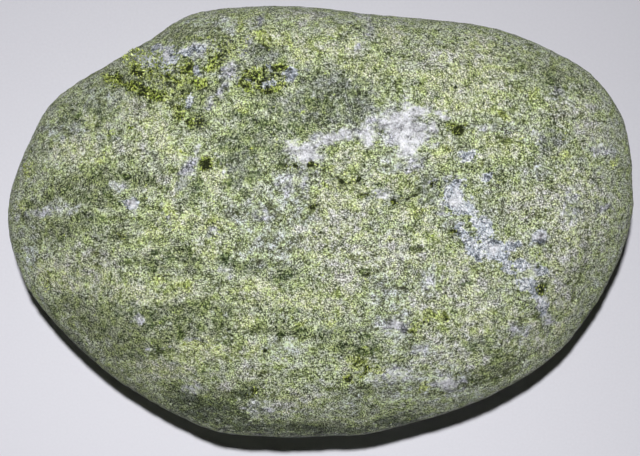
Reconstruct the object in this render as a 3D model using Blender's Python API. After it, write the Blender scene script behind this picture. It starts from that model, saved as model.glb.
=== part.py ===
"""Epidote beach cobble: one wave-rounded stone, lying on its flattest side.

Metres, +Z up. The origin is under the middle of the stone, on the surface that it rests on.
X runs along the stone and Y across it. Tables of small forms are in millimetres on the plan.
"""

import math

import bmesh
import bpy
from mathutils import Vector, noise

MM = 0.001

# Driving dimensions, in metres. The widest level is the height where the outline is drawn.
CROWN_HEIGHT = 19.5 * MM
BELLY_DEPTH = 20.0 * MM
REST_CUT = 0.7 * MM
CROWN_FULLNESS = 2.9
BELLY_FULLNESS = 2.5

# The outline at the widest level: bearing from +X in degrees, distance from the middle in mm.
# It is blunt at the right end, and has a long, slightly hollow flank at the upper left.
OUTLINE = (
    (0, 60.0), (9, 60.9), (19, 61.3), (30, 58.6), (40, 53.7), (50, 49.3), (60, 45.1),
    (71, 41.9), (82, 40.8), (93, 41.2), (105, 42.5), (115, 44.8), (122, 46.8), (130, 47.6),
    (138, 49.5), (147, 52.5), (155, 56.2), (163, 57.4), (171, 59.2), (179, 60.3), (188, 58.8),
    (197, 56.1), (209, 51.7), (221, 48.3), (232, 45.7), (242, 44.7), (252, 42.7), (262, 41.3),
    (272, 40.6), (281, 41.3), (292, 41.9), (304, 43.8), (318, 47.1), (330, 51.4), (342, 54.7),
    (351, 57.2),
)

# Faces that the surf wore flat: the bearing that each looks to and its rise above the horizon in
# degrees (below it for the belly), how deep it was worn and how softly it meets the rest, in mm.
WORN_FACES = (
    (130, 50, 1.8, 1.2),
    (204, 58, 2.0, 1.4),
    (236, 48, 2.6, 1.2),
    (280, 44, 1.6, 1.0),
    (322, 48, 2.0, 1.2),
    (14, 54, 0.8, 1.2),
    (72, 50, 0.6, 1.0),
    (250, -46, 1.8, 1.2),
    (60, -40, 1.6, 1.2),
    (160, -52, 1.5, 1.4),
    (338, -48, 1.4, 1.2),
)

# Broad swells and small dimples: spacing and depth in mm, and where the pattern starts.
SWELLS = ((34.0, 1.10, Vector((3.1, 0.4, 7.7))), (13.0, 0.34, Vector((9.2, 5.5, 1.3))))

# Ledges on the crown: points of the line in mm, the drop on its left side, and how far that
# side takes to rise again.
LEDGES = (
    (((5.6, 7.4), (1.2, 4.0), (-3.6, 0.6), (-8.4, -3.0)), -0.55, 7.0),
    (((-9.0, 13.8), (0.8, 9.6), (6.2, 7.9), (9.4, 5.0), (14.6, 4.4), (19.6, 6.6)), -0.45, 5.0),
    (((-33.0, -20.8), (-20.6, -16.4), (-9.4, -18.0), (4.6, -20.8)), -0.60, 6.0),
    (((-38.6, 25.8), (-31.6, 22.4), (-27.0, 17.4), (-24.0, 12.0)), 0.60, 9.0),
    (((-47.0, 8.6), (-37.6, 9.8), (-29.6, 3.8)), -0.40, 6.0),
)
LEDGE_WIDTH = 0.9

# Pits where crystals weathered out: x, y, radius and depth in mm.
PITS = (
    (24.6, 16.7, 1.5, 1.10),
    (22.4, -16.6, 1.4, 0.95),
    (19.5, -17.7, 1.3, 1.00),
    (17.4, -19.4, 1.1, 0.80),
    (-20.5, 10.2, 1.3, 0.90),
    (3.9, 7.8, 1.2, 0.85),
    (6.8, 7.6, 1.3, 0.85),
    (8.0, 4.6, 1.2, 0.80),
    (13.4, 4.2, 1.1, 0.70),
    (-13.2, 24.8, 1.6, 1.10),
    (-9.6, 25.6, 1.3, 0.90),
    (-33.2, 27.2, 1.5, 0.90),
    (-30.6, 23.6, 1.4, 0.80),
    (-25.4, 20.6, 1.3, 0.80),
    (-23.8, 28.0, 1.3, 0.80),
    (40.2, -12.4, 1.3, 0.90),
    (-36.2, -2.6, 1.0, 0.60),
    (-10.0, -23.2, 1.0, 0.65),
    (7.0, -27.4, 1.4, 0.60),
    (24.2, -2.4, 1.1, 0.60),
)

# Cracks behind two spalls at the lower right rim: start, end, width and depth in mm.
CRACKS = (
    (Vector((33.8, -29.6)), Vector((37.4, -26.6)), 0.9, 0.55),
    (Vector((48.8, -16.6)), Vector((51.0, -13.6)), 0.9, 0.50),
)

# The mesh: faces along one side of the starting cube, and how closely the small forms are meshed.
CUBE_FACES = 21
FINE_STEPS = ((3.4, 2.0), (1.9, 1.0))
PIT_CORE_EDGE = 0.8

# How much steeper than the line from the middle the surface's own direction is on so flat a stone.
OUTWARD_LIFT = 4
STONE_GREEN = (0.30, 0.34, 0.22, 1.0)


def clear_scene():
    for old in list(bpy.data.objects):
        bpy.data.objects.remove(old, do_unlink=True)


def plan_radius(bearing):
    """Distance from the middle to the outline, by a cubic through the four nearest points."""
    bearing %= 360.0
    count = len(OUTLINE)
    start = max(i for i in range(count) if OUTLINE[i][0] <= bearing)
    before, here, after, beyond = (OUTLINE[(start + step) % count] for step in (-1, 0, 1, 2))
    span = (after[0] - here[0]) % 360
    slope_here = (after[1] - before[1]) / ((after[0] - before[0]) % 360) * span
    slope_after = (beyond[1] - here[1]) / ((beyond[0] - here[0]) % 360) * span
    t = (bearing - here[0]) / span
    radius = (
        here[1] * (2 * t**3 - 3 * t**2 + 1)
        + slope_here * (t**3 - 2 * t**2 + t)
        + after[1] * (3 * t**2 - 2 * t**3)
        + slope_after * (t**3 - t**2)
    )
    return radius * MM


def rounded_blank(direction):
    """The surface in this direction from the middle: the outline, rounded over and under."""
    across = math.hypot(direction.x, direction.y)
    crown = direction.z >= 0
    fullness = CROWN_FULLNESS if crown else BELLY_FULLNESS
    height = CROWN_HEIGHT if crown else BELLY_DEPTH + REST_CUT
    share = (across**fullness + abs(direction.z) ** fullness) ** (-1 / fullness)
    reach = plan_radius(math.degrees(math.atan2(direction.y, direction.x))) * share
    return Vector((direction.x * reach, direction.y * reach, direction.z * height * share))


def soft_step(value, low, high):
    t = min(1.0, max(0.0, (value - low) / (high - low)))
    return t * t * (3 - 2 * t)


def worn_planes(blank):
    """(outward direction, distance from the middle, softness) of each worn face."""
    planes = []
    for bearing, rise, depth, softness in WORN_FACES:
        turn, tilt = math.radians(bearing), math.radians(rise)
        level = math.cos(tilt)
        out = Vector((math.cos(turn) * level, math.sin(turn) * level, math.sin(tilt)))
        furthest = max(point.dot(out) for point in blank)
        planes.append((out, furthest - depth * MM, softness * MM))
    return planes


def wear(point, planes):
    """Presses the point back to each worn face that it stands beyond."""
    for out, distance, softness in planes:
        beyond = (point.dot(out) - distance) / softness
        if beyond > -6:
            point = point - out * softness * math.log1p(math.exp(beyond))
    return point


def swell(point, outward):
    for spacing, depth, start in SWELLS:
        point = point + outward * (noise.noise(point / (spacing * MM) + start) * depth * MM)
    return point


def line_distance(spot, points):
    """(distance to the line, positive on its left; how far along it, 0 to 1), in mm."""
    best = None
    for i in range(len(points) - 1):
        start, end = Vector(points[i]), Vector(points[i + 1])
        along = end - start
        t = min(1.0, max(0.0, (spot - start).dot(along) / along.length_squared))
        gap = spot - (start + along * t)
        side = math.copysign(gap.length, along.x * gap.y - along.y * gap.x)
        if best is None or gap.length < abs(best[0]):
            best = (side, (i + t) / (len(points) - 1))
    return best


def ledge_drop(spot):
    drop = 0.0
    for points, depth, rise in LEDGES:
        side, along = line_distance(spot, points)
        if abs(side) > 3 * rise:
            continue
        ends = soft_step(along, 0.0, 0.2) * soft_step(1 - along, 0.0, 0.2)
        step = soft_step(side, -LEDGE_WIDTH, LEDGE_WIDTH) * math.exp(-((side / rise) ** 2))
        drop += depth * ends * step
    return drop


def pit_drop(spot):
    drop = 0.0
    for x, y, radius, depth in PITS:
        share = (spot - Vector((x, y))).length / radius
        if share < 1:
            drop -= depth * (1 - share**2) ** 2
    return drop


def crack_drop(spot):
    drop = 0.0
    for start, end, width, depth in CRACKS:
        side, along = line_distance(spot, (start, end))
        ends = soft_step(along, 0.0, 0.25) * soft_step(1 - along, 0.0, 0.25)
        drop -= depth * ends * max(0.0, 1 - abs(side) / width)
    return drop


def small_forms(point, outward):
    """Cuts the ledges, pits and cracks into the crown, along the surface's own direction."""
    if point.z <= 0:
        return point
    spot = Vector((point.x, point.y)) / MM
    depth = ledge_drop(spot) + pit_drop(spot) + crack_drop(spot)
    return point + outward * depth * MM


def shape(mesh):
    """Turns the sphere of directions into the stone: blank, worn faces, swells, small forms."""
    blank = [rounded_blank(vert.co) for vert in mesh.verts]
    planes = worn_planes(blank)
    for vert, point in zip(mesh.verts, blank):
        outward = Vector((point.x, point.y, point.z * OUTWARD_LIFT)).normalized()
        vert.co = small_forms(swell(wear(point, planes), outward), outward)


def needs_fine(spot, margin):
    """True near a pit, a crack or a ledge, where the mesh has to be closer."""
    if any((spot - Vector((x, y))).length < radius + margin for x, y, radius, _ in PITS):
        return True
    if any(abs(line_distance(spot, (start, end))[0]) < margin for start, end, *_ in CRACKS):
        return True
    return margin > FINE_STEPS[-1][0] and any(
        abs(line_distance(spot, points)[0]) < margin - LEDGE_WIDTH for points, *_ in LEDGES
    )


def refine(mesh):
    """Halves the faces near the small forms, step by step, and puts new corners on the sphere.

    A face beside a halved one has a corner in the middle of its side. Cutting it into triangles
    here, where it is still nearly flat, keeps slivers out of the stone.
    """
    for margin, longest in FINE_STEPS + ((0.0, PIT_CORE_EDGE),):
        chosen = set()
        for face in mesh.faces:
            middle = face.calc_center_median().normalized()
            if middle.z <= 0:
                continue
            place = rounded_blank(middle)
            spot = Vector((place.x, place.y)) / MM
            corners = [rounded_blank(v.co.normalized()) for v in face.verts]
            size = max((corners[i] - corners[i - 1]).length for i in range(len(corners))) / MM
            if size > longest and needs_fine(spot, margin):
                chosen.update(face.edges)
        bmesh.ops.subdivide_edges(mesh, edges=list(chosen), cuts=1, use_grid_fill=True)
        for vert in mesh.verts:
            vert.co.normalize()
        bmesh.ops.triangulate(mesh, faces=mesh.faces[:])


def cut_resting_face(mesh):
    """Slices the belly level, so that the stone lies on one flat face."""
    bmesh.ops.bisect_plane(
        mesh,
        geom=mesh.verts[:] + mesh.edges[:] + mesh.faces[:],
        plane_co=(0, 0, -BELLY_DEPTH),
        plane_no=(0, 0, -1),
        clear_outer=True,
    )
    rim = [edge for edge in mesh.edges if edge.is_boundary]
    bmesh.ops.contextual_create(mesh, geom=rim)


def put_on_origin(mesh):
    """Moves the mesh so that the origin is under the middle of its box."""
    low = Vector(min(v.co[axis] for v in mesh.verts) for axis in range(3))
    high = Vector(max(v.co[axis] for v in mesh.verts) for axis in range(3))
    shift = Vector((-(low.x + high.x) / 2, -(low.y + high.y) / 2, -low.z))
    bmesh.ops.translate(mesh, verts=mesh.verts[:], vec=shift)


def stone_material():
    material = bpy.data.materials.new("epidote_stone")
    material.use_nodes = True
    shader = material.node_tree.nodes["Principled BSDF"]
    shader.inputs["Base Color"].default_value = STONE_GREEN
    shader.inputs["Roughness"].default_value = 0.6
    shader.inputs["Metallic"].default_value = 0.0
    return material


def make_cobble():
    mesh = bmesh.new()
    bmesh.ops.create_cube(mesh, size=2.0)
    bmesh.ops.subdivide_edges(
        mesh, edges=mesh.edges[:], cuts=CUBE_FACES - 1, use_grid_fill=True
    )
    for vert in mesh.verts:
        vert.co.normalize()
    refine(mesh)
    shape(mesh)
    cut_resting_face(mesh)
    bmesh.ops.recalc_face_normals(mesh, faces=mesh.faces[:])
    put_on_origin(mesh)

    data = bpy.data.meshes.new("cobble")
    mesh.to_mesh(data)
    mesh.free()
    data.shade_smooth()
    data.materials.append(stone_material())
    cobble = bpy.data.objects.new("cobble", data)
    bpy.context.scene.collection.objects.link(cobble)
    return cobble


clear_scene()
make_cobble()
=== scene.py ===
# %% [markdown]
# # A beach cobble of epidote rock
#
# This lesson dresses one wave-worn stone. Its measured solid is loaded first and is never moved.
# The solid gives the size and the big forms. The lesson adds what the sea, the minerals and a
# few million years left on it: grains, patches of quartz, hollows and a crust of crystals.

# %% Load the measured stone
import math

import bpy
import numpy as np
from mathutils import Matrix, Vector, noise


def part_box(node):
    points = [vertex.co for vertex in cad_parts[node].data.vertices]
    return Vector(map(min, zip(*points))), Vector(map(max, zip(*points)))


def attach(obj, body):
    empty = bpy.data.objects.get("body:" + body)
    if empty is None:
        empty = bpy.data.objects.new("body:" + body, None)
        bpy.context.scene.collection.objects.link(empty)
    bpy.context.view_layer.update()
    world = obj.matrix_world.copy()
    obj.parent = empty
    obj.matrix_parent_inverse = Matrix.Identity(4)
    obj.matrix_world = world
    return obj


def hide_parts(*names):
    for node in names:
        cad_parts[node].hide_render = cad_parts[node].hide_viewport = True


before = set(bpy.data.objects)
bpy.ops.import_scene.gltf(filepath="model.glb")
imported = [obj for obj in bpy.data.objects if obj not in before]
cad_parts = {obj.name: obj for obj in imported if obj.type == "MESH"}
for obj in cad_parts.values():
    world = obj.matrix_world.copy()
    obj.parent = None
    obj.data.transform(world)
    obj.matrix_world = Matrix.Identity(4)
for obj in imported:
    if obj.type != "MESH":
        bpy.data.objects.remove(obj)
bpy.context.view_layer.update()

MM = 0.001
stone_low, stone_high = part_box("cobble")
print("the stone spans", [round(size / MM, 1) for size in stone_high - stone_low], "mm")

# %% [markdown]
# ## The camera
#
# The stone lies on its flattest side and is looked at from straight above. Its widest level, on
# which its outline lies, is about halfway up. The lens stands 26 cm above that level, and its
# focal length is worked out from the width that the picture has to cover there.

# %% Stand the camera over the stone
OUTLINE_LEVEL = 21.1 * MM
EYE_ABOVE = 260 * MM
EYE_Y = -1.15 * MM
PICTURE_WIDTH = 122.2 * MM

bpy.ops.object.camera_add(location=(0, EYE_Y, OUTLINE_LEVEL + EYE_ABOVE), rotation=(0, 0, 0))
camera = bpy.context.object
camera.data.lens = camera.data.sensor_width * EYE_ABOVE / PICTURE_WIDTH
bpy.context.scene.camera = camera
bpy.context.scene.view_settings.view_transform = "Standard"
print("focal length", round(camera.data.lens, 1), "mm")

# %% [markdown]
# ## Two helpers for working as by hand
#
# Operators act on whatever is selected, so `only` first clears the selection. `apply_modifier`
# adds one modifier, sets it and applies it, which is what a click on Apply does.

# %% Helpers for selecting and for modifiers
def only(piece):
    if bpy.context.object and bpy.context.object.mode != "OBJECT":
        bpy.ops.object.mode_set(mode="OBJECT")
    bpy.ops.object.select_all(action="DESELECT")
    piece.select_set(True)
    bpy.context.view_layer.objects.active = piece


def apply_modifier(piece, kind, **settings):
    only(piece)
    modifier = piece.modifiers.new(kind.lower(), kind)
    for name, value in settings.items():
        setattr(modifier, name, value)
    bpy.ops.object.modifier_apply(modifier=modifier.name)


# %% [markdown]
# ## A finer skin for the stone
#
# The solid has flat facets a few millimetres wide, which would show from this close. A copy of it
# becomes the visible stone. Its corners are merged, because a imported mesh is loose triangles, and
# Subdivision Surface rounds the facets off. A voxel remesh then covers the stone evenly with
# quads, which later steps paint, and push in. They are half a millimetre wide, a little more than
# a grain of the rock, and so the skin stays under 100,000 quads.

# %% Copy, smooth and remesh the stone
MERGE_DISTANCE = 0.01 * MM
SKIN_QUAD = 0.56 * MM

surface = bpy.data.objects.new("cobble_surface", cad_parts["cobble"].data.copy())
bpy.context.scene.collection.objects.link(surface)
surface.data.materials.clear()
only(surface)
bpy.ops.object.mode_set(mode="EDIT")
bpy.ops.mesh.select_all(action="SELECT")
bpy.ops.mesh.remove_doubles(threshold=MERGE_DISTANCE)
bpy.ops.object.mode_set(mode="OBJECT")
apply_modifier(surface, "SUBSURF", levels=1, render_levels=1)
apply_modifier(surface, "REMESH", mode="VOXEL", voxel_size=SKIN_QUAD, use_smooth_shade=True)
print("the skin has", len(surface.data.polygons), "quads")

# %% [markdown]
# ## Where the dark rock lies
#
# The rock is a mixture: green epidote, dark chlorite, pale epidote, lavender and white quartz.
# A noise texture alone can't say where each one lies, so the patches are drawn one by one. Each
# spot is an ellipse on the outline's level as the eye above sees it: x and y of its middle, half
# its length and width, all in millimetres, and its turn in degrees. A long or bent patch is a chain
# of spots that overlap.
#
# The darkest rock comes first: a slate-coloured band behind the quartz, soft clouds of chlorite,
# dark green streaks, most of them at the lower left, and dark spots beside the crust. Along the
# lower rim, a near-black layer and some dark green spots are painted shade.

# %% Draw the dark patches
DARK_BAND = (
    # the slate-coloured band behind the quartz
    (3.4, 25.6, 6.5, 2.5, -6), (8, 23.3, 2.7, 1.9, 0), (-0.4, 23.7, 5.7, 1.9, 4),
    (-10.7, 32.1, 2.1, 2.1, 0), (21, 6.5, 1.7, 2.7, 0), (44.1, 15.7, 1.7, 1.7, 0),
    (6.1, 21, 3.1, 1.7, 10), (0, 20.3, 3.4, 1.1, 5), (-15.3, 10.7, 1.7, 2.3, 0),
    (1.5, 24.9, 4.6, 1.9, -6),
)
CHLORITE = (
    # soft clouds of dark chlorite
    (-15.7, 11.5, 3.1, 6.1, 8), (-11.8, 18, 5.3, 3.1, 20), (-3.8, 19.5, 6.9, 2.5, 10),
    (-6.9, 23.3, 4.6, 2.3, 15), (-8.4, 13.8, 3.4, 1.9, 0), (-14.1, -8.4, 3.8, 2.3, 0),
    (-7.3, -9.5, 2.7, 1.9, 0), (-24.4, 5.8, 1.9, 1.9, 0), (-32.5, -18.3, 7.6, 1.9, -4),
    (-22, 24.3, 3.1, 1.9, 0), (0, 21, 5, 2.3, 5), (-49.6, -15.8, 3.4, 1.9, -20),
    (1.9, -20.6, 3.4, 1.9, 0), (9.5, -23.4, 3.1, 1.5, 0), (-40.1, 7.1, 4.6, 1.9, 0),
    (45.8, 28.1, 3.8, 1.5, -25), (30.6, -23.4, 3.1, 1.1, 0), (-43.5, -0.7, 3.4, 1.3, -10),
    (-15.7, 10.9, 2.7, 4.2, 8), (-15.3, 10.9, 3.8, 4.2, 0), (-11.1, 19.5, 3.4, 2.3, 0),
    (-12.4, 17.6, 3.1, 2.7, 0), (-32.5, -7.6, 3.1, 1.3, 0), (0, 20.3, 4.2, 1.7, 5),
    (-43.2, 23, 3.4, 1.9, -30), (-47.7, 19.9, 3.1, 1.7, -50),
)
DARK_GREEN_AND_RIM_SHADE = (
    # dark green streaks along the beds, and painted shade along the lower rim
    (-48.7, 6.7, 3.6, 1.3, 24), (-43, 4.2, 3.4, 1.5, -6), (-43.9, 8.6, 5, 1.5, 10),
    (-34.4, 7.9, 2.1, 1.5, 0), (-55.4, 2.5, 2.5, 1.1, 0), (-50.4, -1.7, 5, 1.7, -5),
    (-25.6, -7, 3.1, 1.5, -25), (-41.2, -20.2, 6.5, 3.1, -25), (-34.8, -24.4, 5.3, 1.9, 8),
    (-29, -22.1, 5.3, 1.5, 18), (-19.9, -20.6, 2.5, 1.5, -40), (4.6, -24.2, 2.9, 1.1, -5),
    (15.5, -26.3, 1.3, 1.3, 0), (9.5, -32, 1.7, 1.1, 0), (39, 29.8, 2.1, 1.1, 10),
    (45.1, 28.7, 2.3, 1.3, -20), (-1, 22.4, 1.9, 1.1, 0), (-23.3, 18.4, 1.5, 2.3, 20),
    (-9.4, 27.5, 2.9, 2.1, 0), (25.4, -2.6, 1.1, 1.1, 0), (15.7, 4.6, 1.5, 0.8, 0),
    (42.2, -13.1, 1.7, 1.1, 0), (33.8, -28.4, 4.2, 1.9, 15), (-14.1, -33, 2.9, 1.5, 30),
    (-19.9, -35.1, 5.3, 1.7, -8), (-27.1, -33.4, 5, 1.3, -20), (-39.1, -30.7, 10.7, 2.1, -33),
    (-50, -21.9, 5.3, 1.7, -42), (-27.7, 26, 4.6, 1.9, -10), (-32.1, 27.9, 3.1, 1.3, -20),
    (-21.4, 24.3, 2.7, 1.7, 0), (-26.3, 35.6, 3.1, 1.3, 15), (-19.1, 33.3, 1.9, 1.9, 0),
    (8.6, -9.5, 1.1, 1, 0), (-38.6, 26.4, 2.7, 1.3, -15), (-36.7, -20.6, 3.8, 2.3, 0),
    (-24.8, -16.9, 6.5, 1.5, -4), (-7.1, -20.8, 6.5, 0.8, -4), (-20.6, 35.6, 1.9, 1, -15),
    (-34.4, 25.2, 3.4, 1.5, -25), (-24.8, 29.6, 1.9, 1.3, 0), (-20, -36.2, 5.7, 1.7, -6),
    (-3.8, -39.3, 9.5, 1.1, 0), (-11.1, 27.5, 2.7, 2.1, 0), (-38.6, 27.2, 2.7, 1.3, -15),
    (-32.5, -7.6, 2.5, 0.8, -12), (-11.1, 27.7, 3.1, 2.1, 0), (-35.9, 26.4, 4.2, 1.3, -20),
    (-47.7, -15.2, 1.9, 1, -12), (-43.5, 7.3, 2.3, 1, 5), (-38.2, -2.6, 1.9, 1, -10),
    (-19.9, -35.7, 5.7, 1.3, -6), (-19.9, -35.9, 5.7, 1.3, -6), (-35.3, 26, 5, 1.5, -22),
)
RIM_SHADE_AND_DARK_SPOTS = (
    # painted shade along the lower rim, and dark spots beside the crust
    (-22.9, -37, 6.5, 1.5, -14), (-13.4, -39.3, 7.6, 1.3, -4), (0, -40.2, 11.5, 1.1, 0),
    (13.4, -38.5, 5.7, 1.1, 12), (-26.7, -34.7, 3.1, 1, -20), (-14.7, -33.6, 1.9, 1, 0),
    (-47.7, -23.4, 5, 1, -42), (51.6, -18.3, 1.9, 1, 55), (-19.9, -35.5, 5.7, 1.5, -5),
    (-25.8, -33.6, 2.7, 1, -15), (-35.1, 25.6, 3.8, 1.1, -22), (-39, 27.2, 1.9, 1, -15),
    (-11.1, 27.7, 1.7, 1.1, 0), (-34.4, 25.2, 2.7, 1, -22),
)
print("dark spots:", len(DARK_BAND + CHLORITE + DARK_GREEN_AND_RIM_SHADE + RIM_SHADE_AND_DARK_SPOTS))

# %% [markdown]
# ## Where the pale rock lies
#
# Where quartz is mixed into the green, the rock turns pale: yellowish in one place, cream or
# grey in the next. Mist is the palest mixture, a thin veil of quartz grains around the quartz
# itself and in small clouds of its own.

# %% Draw the pale patches
PALE = (
    # pale yellowish epidote
    (-45.8, 13.8, 4.6, 2.3, -4), (-43.5, 18.8, 2.5, 1.7, 0), (-32.8, 18.8, 5.3, 2.7, -45),
    (-29.4, 14.2, 3.8, 1.5, -25), (-20.6, 8.8, 2.3, 2.9, 10), (-27.5, 6.9, 1.1, 3.8, -8),
    (-28.6, 2, 2.3, 1.3, 0), (-23.7, 0, 5, 1.7, -8), (-21.2, -5.1, 2.9, 2.7, 0),
    (-30.9, -2.6, 2.9, 1.1, -25), (-32.1, -14.3, 9.2, 1.7, 2), (-26.5, -11.8, 2.5, 1.5, 0),
    (-13, -13.7, 4.2, 2.3, 0), (-14.1, -19, 2.3, 1.5, 0), (-22.1, -24.8, 7.6, 1.9, 5),
    (-29, -28.6, 5.7, 1.5, -10), (-3.8, -34.3, 3.4, 1.5, 0), (-18.7, -31.8, 1.5, 1.3, 0),
    (0.4, -1.1, 6.5, 4.6, -8), (4.8, 6.2, 3.4, 1.5, 5), (17.6, 2, 3.2, 1.3, 0),
    (15.3, 8.4, 4.2, 1.7, -4), (9.9, 3.1, 1.5, 1.1, 0), (6.1, 12.6, 2.9, 1.3, 0),
    (23.1, 12.6, 1.1, 2.7, -18), (28.3, 27.9, 8, 4.6, -5), (24.8, 23, 3.8, 1.9, 0),
    (30.2, 33.5, 2.9, 1.7, 0), (13.6, 35.8, 2.1, 1.5, 0), (3.1, 36.7, 1.9, 1.1, 0),
    (4.8, 32.9, 3.1, 1.7, 0), (9.9, 29.1, 4.2, 1.9, 0), (34.4, 14.7, 3.8, 2.1, 0),
    (32.7, 22.8, 2.3, 1.5, 0), (-3.2, 31.7, 1.7, 1.7, 0), (19.3, -2.6, 1.5, 1.7, 0),
    (25.8, -7.6, 3.1, 1.7, 0), (40.1, 4.6, 3.1, 2.5, 0), (30.2, -19, 5, 2.9, 0),
    (4.2, -13.3, 3.4, 1.7, 0), (45.8, -20.6, 1.1, 1.3, 0), (-0.4, -15.8, 5.3, 1.5, -6),
    (-36.3, -12.9, 3.1, 1.5, 0), (2.9, 4.2, 3.1, 2.3, 0), (38.2, -20.6, 3.4, 1.5, 0),
    (48.7, -1.5, 2.3, 4.6, 0), (-51.6, -9.1, 3.1, 1.7, 0), (-42, -10.1, 4.2, 1.5, 0),
    (-36.7, -3, 2.1, 0.8, -10), (-8.6, 35.2, 2.3, 1.5, 0), (-1.9, -14.8, 3.4, 1.9, 0),
    (20.2, -18.3, 3.4, 1.9, 10), (-32.5, -6.3, 2.3, 1, 0), (21, -3, 2.7, 1.5, 0),
    (-49.6, -12, 3.1, 1.3, -10), (-1.9, 33.8, 2.7, 1.5, 0), (3.8, 4.6, 3.8, 2.3, 0),
    (-24.8, -23.4, 5.7, 1.9, 0), (38.2, -19.6, 3.8, 1.9, 0), (24.8, -31.1, 3.8, 1.5, 0),
    (45.8, -14.8, 3.1, 1.9, -45), (42, -23.4, 3.1, 1.1, -35), (4.4, 6.5, 2.3, 1, -15),
    (20, -17.1, 2.7, 1.7, 10), (38.6, -21, 3.8, 2.3, -20), (1.1, 5, 1, 1.9, -30),
    (20, -16.6, 3.8, 1.7, 10), (2.7, 3.5, 3.8, 2.3, 0), (8, -6.8, 4.2, 1.9, 0),
    (48.7, 5.2, 3.4, 4.2, 0), (7.6, -26.7, 3.1, 1.5, 0),
)
CREAM = (
    # cream-coloured rock, most of it on the right
    (48.1, 1.4, 5.3, 8, 0), (51.6, 17.6, 2.3, 5.7, 20), (45.8, -9.5, 3.1, 4.6, 0),
    (42, 4.2, 2.7, 2.3, 0), (7.6, -7.6, 6.5, 3.8, -10), (28.6, -13.3, 5, 4.6, 0),
    (21, -14.8, 3.8, 2.7, 0), (23.3, -22.9, 5, 1.7, 0), (-36.3, 13.8, 3.8, 1.5, -10),
    (-34.6, 20.5, 1.5, 1.7, 0), (-43.5, -7.6, 4.2, 2.1, 0), (-30.9, 7.9, 2.3, 1.5, 0),
    (22.9, 31.7, 4.6, 1.7, 0), (-2.3, 39.2, 2.7, 1.1, 0), (19.1, -7.6, 2.3, 2.3, 0),
    (14.3, -4.3, 2.3, 1.9, 0), (45.8, 21.4, 2.3, 1.9, 0), (-13.4, -28.6, 2.3, 1.5, 0),
    (-18.7, -32, 1.7, 1.5, 0), (-3.8, -34.3, 3.8, 1.5, 0), (36.3, -5.3, 2.3, 2.7, 0),
    (11.5, -7.6, 4.6, 3.1, 0), (28.6, -12.9, 4.6, 3.8, 0), (24.8, -26.3, 5.7, 1.5, 0),
    (4.8, -0.5, 3.8, 2.7, 0), (-1.9, -3.4, 2.7, 2.7, 0), (26.7, -28.6, 6.5, 1.5, 0),
    (38.2, -21.5, 3.8, 1.5, -20), (1.9, 6.9, 1.9, 1.1, -20), (20, -21.5, 1.9, 1.1, 0),
    (40.1, 3.5, 3.8, 2.3, 0), (24.8, -26.7, 5.7, 1.5, 0),
)
GREY = (
    # cool grey rock
    (-5.7, 8.1, 4.2, 2.7, 32), (-3.8, 11.9, 2.3, 1.5, 0), (-11.1, 1.6, 3.8, 2.3, 10),
    (-9, -4.5, 4.6, 2.7, 20), (-3.8, 1.6, 1.9, 3.4, -20), (14.5, -19.6, 3.8, 2.3, 0),
    (24.8, -30.9, 4.6, 2.5, 0), (6.1, -33.6, 1.9, 2.3, 0), (19.1, -24.4, 3.8, 1.3, 0),
    (-49.3, 17.6, 4.8, 1.1, -3), (-42, 24.1, 2.3, 1.7, 0), (-55.4, -6.4, 1.3, 2.7, -10),
    (-17.2, 2, 1.3, 1.3, 0), (-17.9, -22.1, 1.9, 1.1, 0), (-6.9, -23.6, 2.9, 1.9, 0),
    (21, -11.2, 1.3, 2.3, 0), (53.7, 13.8, 2.5, 1.5, 0), (42.2, 9.8, 2.7, 1.5, 0),
    (46, 24.9, 1.5, 1.5, 0), (32.5, 18.2, 4.6, 1, 0), (-23.7, 38.2, 2.3, 0.8, -5),
    (-38.6, 6.9, 1.7, 1, 0), (25.2, 0, 1.9, 1.5, 0), (-18.3, -18.1, 1.7, 1.1, 0),
    (38.2, -20.6, 2.3, 1.7, 0), (13, -13.3, 3.1, 2.3, 0), (11.1, 19.1, 2.3, 2.3, 0),
    (14.9, 11.5, 2.7, 1.9, 0), (-49.6, 2.3, 5, 1.3, 5), (43, 15.7, 2.7, 1.5, 0),
    (14.5, -30.3, 5, 2.7, 0), (25.2, -30.9, 5, 2.7, 0), (-19.5, 36.7, 2.7, 1.5, 0),
    (-6.7, 5.2, 3.1, 2.7, 20), (42, -3.4, 1.9, 1.5, 0), (25.2, -31.3, 5, 2.3, 0),
    (14.5, -29.7, 4.2, 1.9, 0), (10.7, 18.8, 2.7, 1.9, 0), (-56.3, 0.4, 1.3, 2.9, 0),
)
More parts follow.
